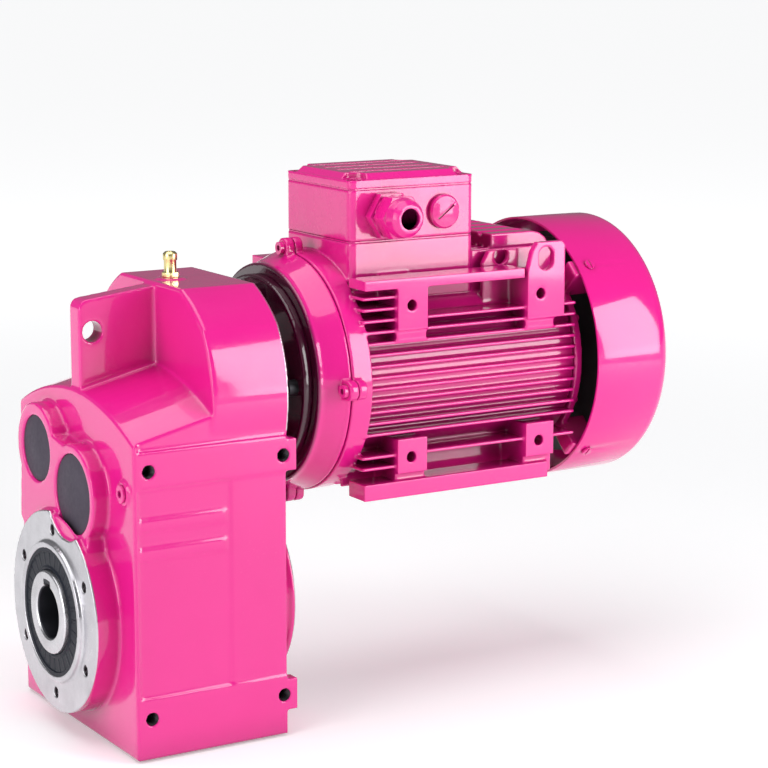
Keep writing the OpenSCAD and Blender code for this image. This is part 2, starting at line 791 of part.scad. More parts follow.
module stator_frame() {
    color(magenta) difference() {
        union() {
            xcyl(frame_x, frame_ring_x, 96.6, motor_axis);
            ears(frame_x, frame_x + 7);
            xcyl(frame_ring_x - 1, frame_x1, shell_r, motor_axis);
            frame_fins();
            for (s = [-1, 1]) {
                // Corner rails.
                translate([frame_ring_x - 4, s > 0 ? 66 : -pad_y, motor_z + rail_z0])
                    cube([175, pad_y - 66, 13]);
                translate([frame_ring_x - 4, s > 0 ? 66 : -pad_y, motor_z + rail_z1 - 8])
                    cube([150, pad_y - 66, 8]);
                for (px = pads_x) {
                    // The rear pads end lower, since the lifting eyes rise from them.
                    top = px[0] < 300 ? rail_z1 : 76;
                    translate([px[0], s > 0 ? 60 : -pad_y, motor_z + 41])
                        cube([px[1] - px[0], pad_y - 60, top - 41]);
                    translate([px[0], s > 0 ? 60 : -pad_y + 2, motor_z + 32])
                        cube([px[1] - px[0], pad_y - 62, 10]);
                    translate([px[0], s > 0 ? 60 : -pad_y, motor_z - 73])
                        cube([px[1] - px[0], pad_y - 60, 27.5]);
                    // Webs that carry the rails.
                    translate([px[0], s > 0 ? 50 : -pad_y + 4, motor_z + rail_z0 + 4])
                        cube([px[1] - px[0], pad_y - 54, 30]);
                }
                lifting_eye(s > 0 ? pad_y - 6 : -pad_y, s > 0 ? pad_y : -pad_y + 6);
                notched_web(s * 61.5 - 2.5, s * 61.5 + 2.5);
            }
            top_pad();
            // Pedestal of the terminal box.
            round_block(box_x0, box_x1, box_y0, box_y1, motor_z + 62, 276.7, box_round);
        }
        // Grooves along the raised pad.
        for (y = [-32.5:20:27.5]) translate([360, y, motor_z + 102.5]) cube([80, 5, 10]);
        xcyl(frame_x - 1, frame_x1 + 5, core_r + fit, motor_axis);
        round_block(box_x0 + 8, box_x1 - 8, box_y0 + 9, box_y1 - 9, motor_z + 84, 280, 5);
        xcyl(frame_x - 1, frame_x + 12, core_r + 2, motor_axis);
        around(motor_axis, ear_pcd_r, ear_angles) xcyl(frame_x - 1, frame_x + 8, 2.6);
        around(motor_axis, 80.4, [25, 155, 205, 335]) xcyl(frame_x1 - 14, frame_x1 + 1, 1.7);
        for (px = pads_x, z = [60.5, -60.5]) {
            at = [(px[0] + px[1]) / 2 - 1, motor_z + z];
            ycyl(-pad_y - 1, -pad_y + 14, 4.25, at);
            ycyl(pad_y - 14, pad_y + 1, 4.25, at);
        }
        // Passage of the leads into the box.
        translate([288, 0, motor_z + 60]) cylinder(h = 40, r = 17);
    }
}

module frame_screws() {
    color(magenta) {
        around(motor_axis, ear_pcd_r, ear_angles)
            translate([203, 0, 0]) cap_screw(2.58, 14, 5, 3.6);
        around(motor_axis, 80.4, [25, 155, 205, 335])
            translate([frame_x1 + 7, 0, 0]) cap_screw(1.68, 17, 3, 3, -1);
    }
}

module stator_core() {
    color(dark_steel) difference() {
        xcyl(core_x0, core_x1, core_r, motor_axis);
        xcyl(core_x0 - 1, core_x1 + 1, 45.3, motor_axis);
        for (a = [0:10:350]) translate([core_x0 - 1, 0, motor_z]) rotate([a, 0, 0])
            translate([0, 47, -2]) cube([core_x1 - core_x0 + 2, 16, 4]);
    }
}

module stator_windings() {
    color(copper_tone) {
        for (x = [core_x0 - 24, core_x1 + 0.05]) translate([x, 0, motor_z])
            rotate([0, 90, 0]) rotate_extrude() translate([50, 0]) square([20, 24]);
        for (a = [0:10:350]) translate([core_x0 - 0.5, 0, motor_z]) rotate([a, 0, 0])
            translate([0, 50.1, -1.9]) cube([core_x1 - core_x0 + 1, 12.8, 3.8]);
    }
}

module rotor_core() {
    color(dark_steel) xring(core_x0, core_x1, 44.7, 18 + fit, motor_axis);
}

module rotor_cage() {
    color(aluminium_tone) for (x = [core_x0 - 12, core_x1]) {
        xring(x, x + 12, 43.5, 27, motor_axis);
        blade_x = x < core_x0 ? x - 8 : x + 11;
        for (a = [0:45:315]) translate([blade_x, 0, motor_z]) rotate([a, 0, 0])
            translate([0, 30, -1.5]) cube([9, 12, 3]);
    }
}

module rotor_shaft() {
    color(steel) {
        xcyl(pinion_1_x - 0.5, 128, 7, motor_axis);
        xcyl(127, 192, 14, motor_axis);
        xcyl(191, 212.2, bearing_6206[0], motor_axis);
        xcyl(212, core_x0 - 13, 17, motor_axis);
        xcyl(core_x0 - 13.1, core_x1 + 13, 18, motor_axis);
        xcyl(core_x1 + 12.9, 415.9, 17, motor_axis);
        xcyl(415.8, 433, bearing_6206[0], motor_axis);
        xcyl(432.9, 484, 12, motor_axis);
    }
}

module motor_bearing_inner_rings() {
    color(steel) inner_rings(bearing_6206, [196, 416], motor_axis);
}

module motor_bearing_outer_rings() {
    color(steel) outer_rings(bearing_6206, [196, 416], motor_axis, 9, 10);
}

module preload_spring() {
    color(steel) xring(432.1, 433.4, 30, 26.5, motor_axis);
}

module rear_end_shield() {
    color(magenta) difference() {
        union() {
            xcyl(frame_x1, frame_x1 + 7, 86, motor_axis);
            xring(frame_x1 - 8, frame_x1 + 1, core_r - fit, core_r - 6, motor_axis);
            xcyl(414, frame_x1 + 7, 38, motor_axis);
            // Arms that carry the fan cowl.
            for (a = [45, 135, 225, 315]) translate([frame_x1 + 1, 0, motor_z]) rotate([a, 0, 0])
                translate([0, 76, -8]) cube([26, 31.6, 16]);
        }
        difference() {
            xcyl(frame_x1 + 7, cowl_x + 40, 86, motor_axis);
            for (a = [45, 135, 225, 315]) translate([frame_x1 + 1, 0, motor_z]) rotate([a, 0, 0])
                translate([0, 80, -9]) cube([30, 31.6, 18]);
        }
        xcyl(413, 433.5, bearing_6206[1] + fit, motor_axis);
        xcyl(413, 440, 13.5, motor_axis);
        around(motor_axis, 80.4, [25, 155, 205, 335]) xcyl(frame_x1 - 9, frame_x1 + 8, 2.2);
        for (a = [45, 135, 225, 315]) translate([448, 0, motor_z]) rotate([a, 0, 0])
            translate([0, 95, 0]) rotate([-90, 0, 0]) cylinder(h = 14, r = 2.1);
    }
}

module cooling_fan() {
    color(rubber_black) difference() {
        union() {
            xcyl(462, 480, 19, motor_axis);
            xcyl(462, 465, 92, motor_axis);
            for (a = [0:40:320]) translate([464, 0, motor_z]) rotate([a, 0, 0])
                translate([0, 16, -1.4]) cube([27, 80, 2.8]);
        }
        xcyl(460, 484, 12 + fit, motor_axis);
    }
}

module fan_circlip() {
    color(dark_steel) xring(480.1, 481.6, 15, 12 + fit, motor_axis);
}

sheet = 2;

module fan_cowl() {
    round_r = 12;
    color(magenta) difference() {
        translate([0, 0, motor_z]) rotate([0, 90, 0]) rotate_extrude($fn = 128) union() {
            translate([cowl_r - sheet, cowl_x]) square([sheet, cowl_rear_x - round_r - cowl_x]);
            translate([0, cowl_rear_x - sheet]) square([cowl_r - round_r, sheet]);
            translate([cowl_r - round_r, cowl_rear_x - round_r]) intersection() {
                difference() {
                    circle(r = round_r, $fn = 48);
                    circle(r = round_r - sheet, $fn = 48);
                }
                square(round_r + 1);
            }
        }
        // Air inlet: ring slots between four spokes.
        difference() {
            for (r = [22:11:88])
                xring(cowl_rear_x - 5, cowl_rear_x + 3, r + 6.5, r, motor_axis);
            for (a = [45, 135]) translate([cowl_rear_x, 0, motor_z]) rotate([a, 0, 0])
                cube([20, 240, 7], center = true);
        }
        for (a = [45, 135, 225, 315]) translate([448, 0, motor_z]) rotate([a, 0, 0])
            translate([0, cowl_r - 5, 0]) rotate([-90, 0, 0]) cylinder(h = 8, r = 2.5);
    }
}

module cowl_screws() {
    color(magenta) for (a = [45, 135, 225, 315]) translate([448, 0, motor_z]) rotate([a, 0, 0])
        translate([0, cowl_r, 0]) rotate([-90, 0, 0]) difference() {
            union() {
                cylinder(h = 2.2, r = 4.4);
                translate([0, 0, -12]) cylinder(h = 13, r = 2.08);
            }
            translate([-0.6, -5, 1.2]) cube([1.2, 10, 2]);
        }
}

// ---------- terminal box ----------

gland_x = 264;
plug_x = 316;
gland_z = 297.5;
box_z0 = 277.7;
box_z1 = 318;
lid_z0 = 319;
lid_top = 330.5;
box_wall = 4.5;
lid_screw_in = 8;
box_round = 5.5;

module terminal_box() {
    color(magenta) difference() {
        round_block(box_x0, box_x1, box_y0, box_y1, box_z0, box_z1, box_round);
        difference() {
            round_block(box_x0 + box_wall, box_x1 - box_wall, box_y0 + box_wall, box_y1 - box_wall,
                box_z0 + 5, box_z1 + 1, 4);
            for (x = [box_x0 + lid_screw_in, box_x1 - lid_screw_in],
                y = [box_y0 + lid_screw_in, box_y1 - lid_screw_in])
                translate([x, y, box_z0]) cylinder(h = 50, r = 7.5);
        }
        translate([288, 0, box_z0 - 1]) cylinder(h = 10, r = 16);
        for (x = [gland_x, plug_x]) ycyl(box_y0 - 1, box_y0 + box_wall + 1, 12.5 + fit, [x, gland_z]);
        for (x = [box_x0 + lid_screw_in, box_x1 - lid_screw_in],
            y = [box_y0 + lid_screw_in, box_y1 - lid_screw_in])
            translate([x, y, box_z1 - 18]) cylinder(h = 20, r = 2.1);
    }
}

// Flat gasket that follows the wall of the box.
module flat_gasket(z0, z1, inset) {
    color(rubber_black) difference() {
        round_block(box_x0 + 0.6, box_x1 - 0.6, box_y0 + 0.6, box_y1 - 0.6, z0, z1, box_round - 1);
        round_block(box_x0 + inset, box_x1 - inset, box_y0 + inset, box_y1 - inset,
            z0 - 1, z1 + 1, 4);
    }
}

module terminal_box_gasket() flat_gasket(276.7, box_z0, 5.6);

module lid_gasket() flat_gasket(box_z1, lid_z0, 3.4);

module terminal_lid() {
    color(magenta) difference() {
        union() {
            round_block(box_x0, box_x1, box_y0, box_y1, lid_z0, lid_z0 + 6.5, box_round);
            // Raised field with sloping sides.
            intersection() {
                xprism(box_x0, box_x1) polygon([[box_y0 + 0.8, lid_z0 + 6], [box_y0 + 5.8, lid_top],
                    [box_y1 - 5.8, lid_top], [box_y1 - 0.8, lid_z0 + 6]]);
                yprism(box_y0, box_y1) polygon([[box_x0 + 0.8, lid_z0 + 6], [box_x0 + 5.8, lid_top],
                    [box_x1 - 5.8, lid_top], [box_x1 - 0.8, lid_z0 + 6]]);
            }
        }
        round_block(box_x0 + 6, box_x1 - 6, box_y0 + 17, box_y1 - 17, lid_z0 - 1, lid_z0 + 6, 4);
        // Long grooves between the ribs of the top.
        for (y = [box_y0 + 19, box_y0 + 40, box_y0 + 61, box_y0 + 80])
            translate([box_x0 + 14, y, lid_top - 3.4]) cube([box_x1 - box_x0 - 28, 6, 5]);
        for (x = [box_x0 + lid_screw_in, box_x1 - lid_screw_in],
            y = [box_y0 + lid_screw_in, box_y1 - lid_screw_in]) translate([x, y, 0]) {
            translate([0, 0, lid_z0 - 1]) cylinder(h = 20, r = 2.7);
            translate([0, 0, lid_z0 + 6.5]) cylinder(h = 20, r = 9.5);
            translate([0, 0, lid_z0 + 4.2]) cylinder(h = 20, r = 5.6);
        }
    }
}

module lid_screws() {
    color(magenta) for (x = [box_x0 + lid_screw_in, box_x1 - lid_screw_in],
        y = [box_y0 + lid_screw_in, box_y1 - lid_screw_in])
        translate([x, y, lid_z0 + 4.2]) difference() {
            union() {
                cylinder(h = 2.6, r = 4.5);
                translate([0, 0, -18]) cylinder(h = 18.5, r = 2.08);
            }
            translate([-5, -0.7, 1.2]) cube([10, 1.4, 2]);
        }
}

board_at = [300, -6];

module terminal_board() {
    color("#7a4a2b") difference() {
        translate([board_at[0] - 30, board_at[1] - 18, box_z0 + 5]) cube([60, 36, 9]);
        terminal_stud_places() translate([0, 0, box_z0]) cylinder(h = 30, r = 2.52);
    }
}

module terminal_stud_places() {
    for (i = [-1, 0, 1], j = [-1, 1])
        translate([board_at[0] + i * 18, board_at[1] + j * 10, 0]) children();
}

module terminal_studs() {
    color(brass_tone) {
        terminal_stud_places() {
            translate([0, 0, box_z0 + 6]) cylinder(h = 24, r = 2.5);
            translate([0, 0, box_z0 + 15.6]) cylinder(h = 4, r = 4.6, $fn = 6);
        }
        for (i = [-1, 0, 1])
            translate([board_at[0] + i * 18 - 4, board_at[1] - 14, box_z0 + 14]) cube([8, 28, 1.6]);
    }
}

module earth_screw() {
    color(brass_tone) translate([252, -30, box_z0]) union() {
        translate([0, 0, 5]) cylinder(h = 2.5, r = 5, $fn = 6);
        translate([0, 0, 5]) cylinder(h = 12, r = 2.4);
        translate([0, 0, 8.5]) cylinder(h = 3, r = 4.5, $fn = 6);
        translate([0, 0, 7.4]) cylinder(h = 1.2, r = 5.4);
    }
}

module gland_body() {
    at = [gland_x, gland_z];
    color(magenta) difference() {
        union() {
            translate([gland_x, box_y0 - 8, gland_z]) rotate([-90, 0, 0])
                cylinder(h = 8, r = 20, $fn = 6);
            ycyl(box_y0 - 9.5, box_y0 - 7.9, 16, at);
            ycyl(box_y0 - 22, box_y0 - 9, 12.2, at);
            ycyl(box_y0 - 0.5, box_y0 + 9, 12.5, at);
        }
        ycyl(box_y0 - 30, box_y0 + 12, 9, at);
        ycyl(box_y0 - 30, box_y0 - 12, 10.6, at);
    }
}

module gland_seal() {
    at = [gland_x, gland_z];
    color(rubber_black) difference() {
        union() {
            ycyl(box_y0 - 30.8, box_y0 - 12.1, 10.5, at);
            ycyl(box_y0 - 12.2, box_y0 - 10.1, 8.9, at);
        }
        ycyl(box_y0 - 40, box_y0 - 8, 7.4, at);
    }
}

module gland_nut() {
    at = [gland_x, gland_z];
    color(magenta) difference() {
        union() {
            translate([gland_x, box_y0 - 24, gland_z]) rotate([-90, 0, 0])
                cylinder(h = 14, r = 18.4, $fn = 6);
            translate([gland_x, box_y0 - 24, gland_z]) rotate([90, 0, 0])
                cylinder(h = 7, r1 = 15.9, r2 = 14.4);
            translate([gland_x, box_y0 - 30.9, gland_z]) rotate([90, 0, 0])
                cylinder(h = 4.1, r1 = 14.4, r2 = 11);
        }
        ycyl(box_y0 - 31, box_y0 - 9, 12.4, at);
        ycyl(box_y0 - 40, box_y0 - 30, 8.4, at);
    }
}

module blanking_plug() {
    at = [plug_x, gland_z];
    color(magenta) difference() {
        union() {
            ycyl(box_y0 - 3.4, box_y0, 13.6, at);
            translate([plug_x, box_y0 - 3.3, gland_z]) rotate([90, 0, 0])
                cylinder(h = 1.4, r1 = 13.6, r2 = 12.2);
            translate([plug_x, box_y0 - 4.6, gland_z]) rotate([90, 0, 0])
                cylinder(h = 1.2, r1 = 12.2, r2 = 8);
            ycyl(box_y0 - 0.5, box_y0 + 8, 12.5, at);
        }
        translate([plug_x, box_y0 - 8, gland_z]) rotate([0, -36, 0])
            translate([-9, 0, -0.9]) cube([18, 3.9, 1.8]);
    }
}

gear_housing();
rear_cover();
cover_screws();
upper_shaft_cap();
lower_shaft_cap();
output_hollow_shaft();
output_gear();
output_gear_key();
output_spacer();
output_bearing_inner_rings();
output_bearing_outer_rings();
front_output_seal();
rear_output_seal();
second_shaft();
second_gear();
second_gear_key();
second_bearing_inner_rings();
second_bearing_outer_rings();
first_shaft();
first_gear();
first_gear_key();
first_bearing_inner_rings();
first_bearing_outer_rings();
motor_pinion();
breather_plug();
oil_level_plug();
oil_drain_plug();
motor_adapter();
adapter_screws();
motor_flange_screws();
input_seal();
drive_end_shield();
stator_frame();
frame_screws();
stator_core();
stator_windings();
rotor_core();
rotor_cage();
rotor_shaft();
motor_bearing_inner_rings();
motor_bearing_outer_rings();
preload_spring();
rear_end_shield();
cooling_fan();
fan_circlip();
fan_cowl();
cowl_screws();
terminal_box();
terminal_box_gasket();
terminal_lid();
lid_gasket();
lid_screws();
terminal_board();
terminal_studs();
earth_screw();
gland_body();
gland_seal();
gland_nut();
blanking_plug();
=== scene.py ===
"""Visual model of a parallel-shaft gearmotor: cast and painted surfaces, machined faces, seals and trim."""

import math

import bmesh
import bpy
import numpy as np
from mathutils import Matrix, Vector


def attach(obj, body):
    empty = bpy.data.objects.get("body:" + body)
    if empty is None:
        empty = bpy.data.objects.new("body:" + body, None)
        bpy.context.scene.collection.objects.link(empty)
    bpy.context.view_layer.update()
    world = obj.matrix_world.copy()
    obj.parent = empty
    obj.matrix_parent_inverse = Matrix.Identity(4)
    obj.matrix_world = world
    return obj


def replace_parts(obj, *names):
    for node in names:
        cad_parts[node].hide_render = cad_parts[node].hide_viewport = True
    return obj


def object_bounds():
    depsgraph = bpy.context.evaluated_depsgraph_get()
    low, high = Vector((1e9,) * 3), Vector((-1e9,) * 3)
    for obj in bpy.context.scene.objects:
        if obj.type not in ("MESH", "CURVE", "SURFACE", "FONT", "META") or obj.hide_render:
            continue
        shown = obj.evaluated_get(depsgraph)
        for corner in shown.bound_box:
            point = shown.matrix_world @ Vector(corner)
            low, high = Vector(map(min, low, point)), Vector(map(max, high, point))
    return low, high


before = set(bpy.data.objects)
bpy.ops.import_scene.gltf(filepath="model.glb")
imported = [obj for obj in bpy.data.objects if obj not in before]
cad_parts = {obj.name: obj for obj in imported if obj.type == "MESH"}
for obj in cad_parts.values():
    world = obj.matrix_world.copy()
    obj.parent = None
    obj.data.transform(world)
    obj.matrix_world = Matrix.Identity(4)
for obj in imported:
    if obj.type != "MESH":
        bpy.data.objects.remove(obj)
cad_low, cad_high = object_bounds()

# Sizes in metres, in the frame whose origin is on the output axis at the front flange face.
DRUM_REAR = 0.1485         # start of the bare machined rim at the back of the housing drum
FLANGE_R = 0.0793          # machined output flange
FLANGE_DEPTH = 0.0012      # how far back from the flange face the metal is bare
SEAL_POCKET_R = 0.0504     # bare pocket that holds the output seal
SEAL_POCKET_DEPTH = 0.018
SPAN = 0.170               # distance between the two output flange faces
SIDE_Y = 0.1046            # half width of the gear housing
SIDE_HOLE_XS = (0.0324, 0.1451)
SIDE_HOLE_ZS = (-0.0625, 0.1267)
SIDE_THREAD_R = 0.00505
FLANGE_BOLT_CIRCLE_R = 0.065
FLANGE_BOLTS = 6
FLANGE_THREAD_R = 0.0042
GAP_END_X = 0.1868         # where the painted shade in the gap between housing and motor ends, as the gap opens out
PAD_Y = 0.0898             # the motor's side pads stand out past this

# Linear colours.
MAGENTA = (0.80, 0.0137, 0.272)
MAGENTA_DEEP = (0.72, 0.009, 0.232)
MAGENTA_PAINTED_SHADE = (0.20, 0.002, 0.060)
MAGENTA_PAINTED_GAP_SHADE = (0.055, 0.001, 0.018)
STEEL = (0.60, 0.59, 0.61)
CAP = (0.060, 0.050, 0.070)
RUBBER = (0.014, 0.016, 0.024)
BRASS = (0.90, 0.76, 0.36)
COPPER = (0.55, 0.22, 0.10)
BLACK_OXIDE = (0.035, 0.033, 0.038)
DUSTY_MAGENTA = (0.86, 0.10, 0.34)
BARE_LIGHT = (0.66, 0.645, 0.68)
BARE_DARK = (0.50, 0.49, 0.52)
BORE_PAINTED_SHADE = (0.045, 0.045, 0.055)
TURNED_STEEL = (0.72, 0.71, 0.735)
THREAD_PAINTED_SHADE = (0.055, 0.050, 0.056)
FAN_PLASTIC = (0.022, 0.022, 0.024)
BOARD_RESIN = (0.20, 0.09, 0.04)
CAST_ALUMINIUM = (0.62, 0.63, 0.64)
CORE_STEEL = (0.16, 0.16, 0.17)


# ---------- node helpers ----------

class Graph:
    """Thin wrapper that adds and links shader nodes."""

    def __init__(self, name):
        self.mat = bpy.data.materials.new(name)
        self.mat.use_nodes = True
        self.tree = self.mat.node_tree
        self.tree.nodes.clear()
        self.out = self.add("ShaderNodeOutputMaterial")
        self.bsdf = self.add("ShaderNodeBsdfPrincipled")
        self.link(self.bsdf.outputs[0], self.out.inputs[0])
        self.coord = self.add("ShaderNodeTexCoord").outputs["Object"]

    def add(self, kind, **settings):
        node = self.tree.nodes.new(kind)
        for key, value in settings.items():
            setattr(node, key, value)
        return node

    def link(self, a, b):
        self.tree.links.new(a, b)

    def feed(self, socket, value):
        if isinstance(value, bpy.types.NodeSocket):
            self.link(value, socket)
        else:
            socket.default_value = value

    def math(self, operation, a, b=0.0, clamp=False):
        node = self.add("ShaderNodeMath", operation=operation, use_clamp=clamp)
        self.feed(node.inputs[0], a)
        self.feed(node.inputs[1], b)
        return node.outputs[0]

    def noise(self, scale, detail=3.0, rough=0.5, vector=None):
        node = self.add("ShaderNodeTexNoise")
        self.link(vector or self.coord, node.inputs["Vector"])
        node.inputs["Scale"].default_value = scale
        node.inputs["Detail"].default_value = detail
        node.inputs["Roughness"].default_value = rough
        return node.outputs["Fac"]

    def ramp(self, value, lo, hi, out_lo, out_hi, smooth=False):
        node = self.add("ShaderNodeMapRange")
        node.interpolation_type = "SMOOTHSTEP" if smooth else "LINEAR"
        self.feed(node.inputs["Value"], value)
        node.inputs["From Min"].default_value = lo
        node.inputs["From Max"].default_value = hi
        node.inputs["To Min"].default_value = out_lo
        node.inputs["To Max"].default_value = out_hi
        return node.outputs["Result"]

    def mix(self, factor, a, b):
        node = self.add("ShaderNodeMix", data_type="RGBA")
        self.feed(node.inputs[0], factor)
        self.feed(node.inputs[6], a if isinstance(a, bpy.types.NodeSocket) else (*a, 1.0))
        self.feed(node.inputs[7], b if isinstance(b, bpy.types.NodeSocket) else (*b, 1.0))
        return node.outputs[2]

    def blend(self, factor, a, b):
        """Mix of two numbers."""
        node = self.add("ShaderNodeMix", data_type="FLOAT")
        self.feed(node.inputs[0], factor)
        self.feed(node.inputs[2], a)
        self.feed(node.inputs[3], b)
        return node.outputs[0]

    def xyz(self):
        node = self.add("ShaderNodeSeparateXYZ")
        self.link(self.coord, node.inputs[0])
        return node.outputs

    def length(self, a, b):
        """Length of the vector (a, b)."""
        total = self.math("ADD", self.math("MULTIPLY", a, a), self.math("MULTIPLY", b, b))
        return self.math("SQRT", total)

    def radius(self, centre_z=0.0, centre_y=0.0):
        """Distance from an axis that runs along X."""
        _, y, z = self.xyz()
        return self.length(self.math("SUBTRACT", y, centre_y), self.math("SUBTRACT", z, centre_z))

    def bump(self, height, distance, strength=1.0, under=None):
        node = self.add("ShaderNodeBump")
        self.link(height, node.inputs["Height"])
        node.inputs["Distance"].default_value = distance
        node.inputs["Strength"].default_value = strength
        if under is not None:
            self.link(under, node.inputs["Normal"])
        return node.outputs["Normal"]

    def painted_crevice_shade(self, reach):
        """Painted shade from ambient occlusion: 0 in the open, towards 1 deep between fins and in gaps."""
        node = self.add("ShaderNodeAmbientOcclusion", samples=6)
        node.inputs["Distance"].default_value = reach
        return self.ramp(node.outputs["AO"], 0.15, 0.75, 0.85, 0.0, smooth=True)


def paint(name, grain=1.0, bare=None, gloss=0.16, painted_shade_where=None):
    """Glossy enamel over cast iron or sheet, with painted shade in its crevices.

    bare(graph) gives 1 where the metal is machined bright.
    The last argument gives a mask of the graph: 1 where the coat is darkened to near black as painted shade.
    """
    g = Graph(name)
    cloud = g.noise(9.0, 4.0, 0.55)
    speck = g.noise(420.0, 2.0, 0.6)
    tone = g.ramp(cloud, 0.3, 0.7, 0.0, 0.55)
    colour = g.mix(tone, MAGENTA, MAGENTA_DEEP)
    dust = g.math("MULTIPLY", g.ramp(speck, 0.62, 0.80, 0.0, 0.20), g.ramp(cloud, 0.42, 0.75, 0.2, 1.0))
    colour = g.mix(dust, colour, DUSTY_MAGENTA)
    # Painted shade: the coat turns dark magenta between fins, in crevices and in gaps.
    colour = g.mix(g.painted_crevice_shade(0.045), colour, MAGENTA_PAINTED_SHADE)
    # Painted shade: near-black coat on the walls of the narrow gap.
    if painted_shade_where is not None:
        colour = g.mix(painted_shade_where(g), colour, MAGENTA_PAINTED_GAP_SHADE)
    rough = g.ramp(g.noise(60.0, 3.0, 0.6), 0.3, 0.7, gloss * 0.75, gloss * 1.5)
    peel = g.noise(520.0, 1.5, 0.5)
    sand = g.noise(1500.0, 2.0, 0.6)
    wave = g.noise(55.0, 2.0, 0.5)
    normal = g.bump(wave, 0.00016 * grain)
    normal = g.bump(peel, 0.000035 * grain, under=normal)
    normal = g.bump(sand, 0.000008 * grain, under=normal)
    if bare is None:
        g.link(colour, g.bsdf.inputs["Base Color"])
        g.link(rough, g.bsdf.inputs["Roughness"])
    else:
        mask = bare(g)
        turned = g.math("SINE", g.math("MULTIPLY", g.radius(), 2 * math.pi / 0.00045))
        streak = g.noise(900.0, 2.0, 0.6)
        patches = g.ramp(g.noise(35.0, 4.0, 0.6), 0.3, 0.7, 0.0, 1.0)
        metal = g.mix(patches, BARE_LIGHT, BARE_DARK)
        colour = g.mix(mask, colour, metal)
        g.link(colour, g.bsdf.inputs["Base Color"])
        metal_rough = g.ramp(streak, 0.3, 0.7, 0.26, 0.40)
        g.link(g.blend(mask, rough, metal_rough), g.bsdf.inputs["Roughness"])
        g.link(mask, g.bsdf.inputs["Metallic"])
        rings = g.math("MULTIPLY", turned, mask)
        normal = g.bump(rings, 0.000006, under=normal)
    g.bsdf.inputs["Specular IOR Level"].default_value = 0.28
    g.bsdf.inputs["Coat Weight"].default_value = 0.9
    g.bsdf.inputs["Coat Roughness"].default_value = 0.05
    g.link(normal, g.bsdf.inputs["Normal"])
    return g.mat


def above(g, value, limit, soft=0.0002):
    """1 past the limit, 0 short of it."""
    return g.ramp(value, limit - soft, limit + soft, 0.0, 1.0)


def below(g, value, limit, soft=0.0002):
    """1 short of the limit, 0 past it."""
    return g.ramp(value, limit - soft, limit + soft, 1.0, 0.0)


def bare_housing(g):
    """Machined output flange face and the bare rim at the back of the drum."""
    x = g.xyz()[0]
    flange = g.math("MULTIPLY", below(g, g.radius(), FLANGE_R), below(g, x, FLANGE_DEPTH))
    pocket = g.math("MULTIPLY", below(g, g.radius(), SEAL_POCKET_R), below(g, x, SEAL_POCKET_DEPTH))
    on_drum = above(g, g.xyz()[2], 0.145)
    rim = g.math("MULTIPLY", above(g, x, DRUM_REAR), on_drum)
    return g.math("MAXIMUM", g.math("MAXIMUM", flange, pocket), rim)


def bare_cover(g):
    """Machined flange face of the rear cover and its joint face."""
    x = g.xyz()[0]
    face = g.math("MULTIPLY", below(g, g.radius(), FLANGE_R), above(g, x, SPAN - FLANGE_DEPTH))
    joint = below(g, x, 0.1365)
    return g.math("MAXIMUM", face, joint)


def gap_painted_shade(g):
    """Walls of the gap between the gear housing and the motor, where the coat is darkened as painted shade.
    """
    return below(g, g.xyz()[0], GAP_END_X, soft=0.0018)


def turned_metal(name, colour, rough=0.28, axis_z=0.0, pitch=0.0004, depth=0.000004, painted_shade_bore_r=None):
    """Bright metal with fine turning marks around an axis along X, and painted shade, near black, in the
    bore and on the keyway walls if asked.
    """
    g = Graph(name)
    patch = g.noise(40.0, 4.0, 0.6)
    shade = tuple(c * 0.78 for c in colour)
    tone = g.mix(g.ramp(patch, 0.3, 0.7, 0.0, 1.0), colour, shade)
    scratch = g.noise(1400.0, 2.0, 0.7)
    scuffed = g.ramp(scratch, 0.3, 0.7, rough * 0.8, rough * 1.35)
    if painted_shade_bore_r is not None:
        # Painted shade: the bore and the keyway walls are coloured near black and made rougher.
        inside = g.ramp(g.radius(axis_z), painted_shade_bore_r, painted_shade_bore_r + 0.0003, 1.0, 0.0)
        key = g.math("MULTIPLY", below(g, g.radius(axis_z), 0.0262), above(g, g.xyz()[2], 0.0199))
        slot_walls = g.math("MULTIPLY", key, below(g, g.math("ABSOLUTE", g.xyz()[1]), 0.00615))
        inside = g.math("MAXIMUM", inside, slot_walls)
        tone = g.mix(inside, tone, BORE_PAINTED_SHADE)
        scuffed = g.blend(inside, scuffed, 0.5)
    g.link(tone, g.bsdf.inputs["Base Color"])
    g.link(scuffed, g.bsdf.inputs["Roughness"])
    g.bsdf.inputs["Metallic"].default_value = 1.0
    x = g.xyz()[0]
    place = g.math("ADD", g.radius(axis_z), x)
    marks = g.math("SINE", g.math("MULTIPLY", place, 2 * math.pi / pitch))
    g.link(g.bump(marks, depth, under=g.bump(scratch, depth * 0.8)), g.bsdf.inputs["Normal"])
    return g.mat


def plain_metal(name, colour, rough, grain=900.0, depth=0.000006, metallic=1.0):
    """Metal with a fine blotchy grain, for screws, laminations and small fittings."""
    g = Graph(name)
    patch = g.noise(120.0, 3.0, 0.6)
    shade = tuple(c * 0.62 for c in colour)
    g.link(g.mix(g.ramp(patch, 0.35, 0.7, 0.0, 1.0), colour, shade), g.bsdf.inputs["Base Color"])
    fine = g.noise(grain, 2.0, 0.6)
    g.link(g.ramp(fine, 0.3, 0.7, rough * 0.75, rough * 1.3), g.bsdf.inputs["Roughness"])
    g.bsdf.inputs["Metallic"].default_value = metallic
    g.link(g.bump(fine, depth), g.bsdf.inputs["Normal"])
    return g.mat


